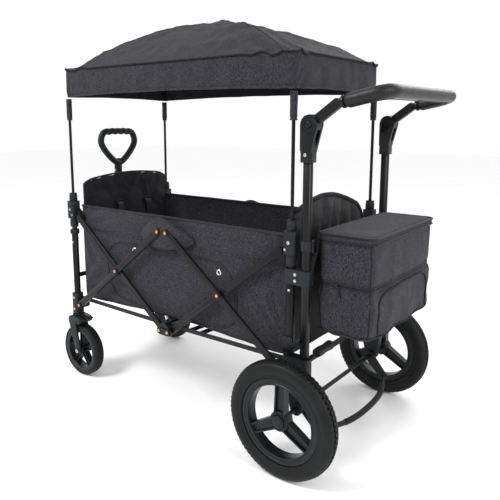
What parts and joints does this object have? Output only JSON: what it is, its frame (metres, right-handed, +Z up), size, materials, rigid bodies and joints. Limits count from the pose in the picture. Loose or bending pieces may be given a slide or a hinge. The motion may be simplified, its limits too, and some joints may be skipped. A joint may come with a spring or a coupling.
{
  "type": "folding stroller wagon",
  "caption": "Folding fabric wagon on a side scissor frame, with pole canopy, swivel front casters, large rear wheels, tilting push handle, pull handle and rear cooler bag.",
  "frame": {"origin": "on the ground, below the middle of the whole wagon's outer box", "axes": "+X towards the push handle (rear), +Y to the right side as seen by someone behind the push handle facing forward, +Z up"},
  "size_m": [1.1926, 0.637, 1.174],
  "materials": {
    "frame_steel": "satin black powder coat",
    "moulded_plastic": "fine-grained moulded black",
    "charcoal_fabric": "heathered charcoal polyester weave",
    "dark_lining": "black padded lining",
    "tyre_rubber": "matt black rubber",
    "grip_cover": "black leather-look cover",
    "bright_bolt": "bright zinc"
  },
  "bodies": {
    "rear_frame": {"rear_leg_left": "frame_steel", "handle_post_left": "frame_steel", "mid_clamp_left": "moulded_plastic", "rear_bracket_left": "moulded_plastic", "handle_hinge_left": "moulded_plastic", "rear_leg_right": "frame_steel", "handle_post_right": "frame_steel", "mid_clamp_right": "moulded_plastic", "rear_bracket_right": "moulded_plastic", "handle_hinge_right": "moulded_plastic", "rear_cross_tube": "frame_steel", "rear_axle": "bright_bolt", "cooler_bag": "charcoal_fabric", "tub": "charcoal_fabric", "floor_mat": "dark_lining"},
    "bag_lid": {"bag_lid": "charcoal_fabric"},
    "foot_brake": {"foot_brake": "frame_steel"},
    "push_handle": {"push_bar": "frame_steel", "push_grip": "grip_cover"},
    "handle_button_left": {"handle_button_left": "bright_bolt"},
    "rear_wheel_left": {"rear_rim_left": "moulded_plastic", "rear_tyre_left": "tyre_rubber"},
    "rear_outer_bars": {"bar_rear_outer_left": "frame_steel", "bar_rear_outer_right": "frame_steel"},
    "rear_inner_bars": {"bar_rear_inner_left": "frame_steel", "bar_rear_inner_right": "frame_steel"},
    "front_outer_bars": {"bar_front_outer_left": "frame_steel", "bar_front_outer_right": "frame_steel"},
    "front_inner_bars": {"bar_front_inner_left": "frame_steel", "bar_front_inner_right": "frame_steel"},
    "top_hubs": {"top_hub_left": "moulded_plastic", "top_hub_right": "moulded_plastic"},
    "rear_uppers": {"top_slider_rear_left": "moulded_plastic", "canopy_pole_rear_left": "frame_steel", "top_slider_rear_right": "moulded_plastic", "canopy_pole_rear_right": "frame_steel", "canopy": "charcoal_fabric"},
    "front_uppers": {"top_slider_front_left": "moulded_plastic", "canopy_pole_front_left": "frame_steel", "top_slider_front_right": "moulded_plastic", "canopy_pole_front_right": "frame_steel"},
    "front_frame": {"front_leg_left": "frame_steel", "front_bracket_left": "moulded_plastic", "front_leg_right": "frame_steel", "front_bracket_right": "moulded_plastic", "pull_yoke": "frame_steel", "seat_back": "dark_lining"},
    "caster_left": {"caster_fork_left": "moulded_plastic"},
    "caster_wheel_left": {"caster_wheel_left": "tyre_rubber"},
    "swivel_lock_left": {"swivel_lock_left": "moulded_plastic"},
    "handle_button_right": {"handle_button_right": "bright_bolt"},
    "rear_wheel_right": {"rear_rim_right": "moulded_plastic", "rear_tyre_right": "tyre_rubber"},
    "caster_right": {"caster_fork_right": "moulded_plastic"},
    "caster_wheel_right": {"caster_wheel_right": "tyre_rubber"},
    "swivel_lock_right": {"swivel_lock_right": "moulded_plastic"},
    "lower_hub": {"lower_hub_frame": "frame_steel"},
    "pull_tube": {"pull_outer_tube": "frame_steel"},
    "pull_grip": {"pull_inner_tube": "frame_steel", "pull_grip": "moulded_plastic"}
  },
  "joints": [
    {"name": "fold", "type": "hinge", "parent": "rear_frame", "child": "rear_outer_bars", "pos_m": [0.31369, 0, 0.255], "axis": [0, 1, 0], "range_deg": [0, 42], "deforming": ["tub", "floor_mat", "canopy"]},
    {"name": "fold_rear_cross", "type": "hinge", "parent": "rear_outer_bars", "child": "rear_inner_bars", "pos_m": [0.11969, 0, 0.4065], "axis": [0, 1, 0], "range_deg": [-84, 0]},
    {"name": "fold_rear_upper", "type": "hinge", "parent": "rear_inner_bars", "child": "rear_uppers", "pos_m": [0.31369, 0, 0.558], "axis": [0, 1, 0], "range_deg": [0, 42]},
    {"name": "fold_top_hub", "type": "hinge", "parent": "rear_outer_bars", "child": "top_hubs", "pos_m": [-0.07431, 0, 0.558], "axis": [0, 1, 0], "range_deg": [-42, 0]},
    {"name": "fold_lower_hub", "type": "hinge", "parent": "rear_inner_bars", "child": "lower_hub", "pos_m": [-0.07431, 0, 0.255], "axis": [0, 1, 0], "range_deg": [0, 42]},
    {"name": "fold_front_inner", "type": "hinge", "parent": "lower_hub", "child": "front_inner_bars", "pos_m": [-0.10831, 0, 0.255], "axis": [0, 1, 0], "range_deg": [0, 42]},
    {"name": "fold_front_cross", "type": "hinge", "parent": "front_inner_bars", "child": "front_outer_bars", "pos_m": [-0.30231, 0, 0.4065], "axis": [0, 1, 0], "range_deg": [-84, 0]},
    {"name": "fold_front_frame", "type": "hinge", "parent": "front_outer_bars", "child": "front_frame", "pos_m": [-0.49631, 0, 0.255], "axis": [0, 1, 0], "range_deg": [0, 42]},
    {"name": "fold_front_upper", "type": "hinge", "parent": "front_inner_bars", "child": "front_uppers", "pos_m": [-0.49631, 0, 0.558], "axis": [0, 1, 0], "range_deg": [-42, 0]},
    {"name": "push_handle_tilt", "type": "hinge", "parent": "rear_frame", "child": "push_handle", "pos_m": [0.39619, 0, 0.8715], "axis": [0, 1, 0], "range_deg": [-30, 80]},
    {"name": "bag_lid_hinge", "type": "hinge", "parent": "rear_frame", "child": "bag_lid", "pos_m": [0.40569, 0, 0.6], "axis": [0, -1, 0], "range_deg": [0, 95]},
    {"name": "foot_brake_press", "type": "hinge", "parent": "rear_frame", "child": "foot_brake", "pos_m": [0.37269, 0, 0.1525], "axis": [0, 1, 0], "range_deg": [0, 14]},
    {"name": "pull_handle_swing", "type": "hinge", "parent": "front_frame", "child": "pull_tube", "pos_m": [-0.56631, 0, 0.262], "axis": [0, -1, 0], "range_deg": [0, 85]},
    {"name": "pull_handle_extend", "type": "slide", "parent": "pull_tube", "child": "pull_grip", "axis": [0.0303, 0, 0.9995], "range_m": [0, 0.25]},
    {"name": "handle_button_left_press", "type": "slide", "parent": "rear_frame", "child": "handle_button_left", "axis": [0, 1, 0], "range_m": [0, 0.0035], "stiffness_N_per_m": 500},
    {"name": "rear_wheel_left_spin", "type": "hinge", "parent": "rear_frame", "child": "rear_wheel_left", "pos_m": [0.37269, -0.296, 0.1525], "axis": [0, 1, 0], "continuous": true},
    {"name": "caster_left_swivel", "type": "hinge", "parent": "front_frame", "child": "caster_left", "pos_m": [-0.52831, -0.221, 0.2], "axis": [0, 0, 1], "continuous": true},
    {"name": "caster_wheel_left_spin", "type": "hinge", "parent": "caster_left", "child": "caster_wheel_left", "pos_m": [-0.50631, -0.221, 0.09], "axis": [0, 1, 0], "continuous": true},
    {"name": "swivel_lock_left_lift", "type": "hinge", "parent": "caster_left", "child": "swivel_lock_left", "pos_m": [-0.49831, -0.221, 0.2145], "axis": [0, -1, 0], "range_deg": [0, 25]},
    {"name": "handle_button_right_press", "type": "slide", "parent": "rear_frame", "child": "handle_button_right", "axis": [0, -1, 0], "range_m": [0, 0.0035], "stiffness_N_per_m": 500},
    {"name": "rear_wheel_right_spin", "type": "hinge", "parent": "rear_frame", "child": "rear_wheel_right", "pos_m": [0.37269, 0.296, 0.1525], "axis": [0, 1, 0], "continuous": true},
    {"name": "caster_right_swivel", "type": "hinge", "parent": "front_frame", "child": "caster_right", "pos_m": [-0.52831, 0.221, 0.2], "axis": [0, 0, 1], "continuous": true},
    {"name": "caster_wheel_right_spin", "type": "hinge", "parent": "caster_right", "child": "caster_wheel_right", "pos_m": [-0.50631, 0.221, 0.09], "axis": [0, 1, 0], "continuous": true},
    {"name": "swivel_lock_right_lift", "type": "hinge", "parent": "caster_right", "child": "swivel_lock_right", "pos_m": [-0.49831, 0.221, 0.2145], "axis": [0, -1, 0], "range_deg": [0, 25]}
  ],
  "couplings": [
    {"joint": "fold_rear_cross", "follows": "fold", "ratio": -2},
    {"joint": "fold_rear_upper", "follows": "fold", "ratio": 1},
    {"joint": "fold_top_hub", "follows": "fold", "ratio": -1},
    {"joint": "fold_lower_hub", "follows": "fold", "ratio": 1},
    {"joint": "fold_front_inner", "follows": "fold", "ratio": 1},
    {"joint": "fold_front_cross", "follows": "fold", "ratio": -2},
    {"joint": "fold_front_frame", "follows": "fold", "ratio": 1},
    {"joint": "fold_front_upper", "follows": "fold", "ratio": -1}
  ]
}
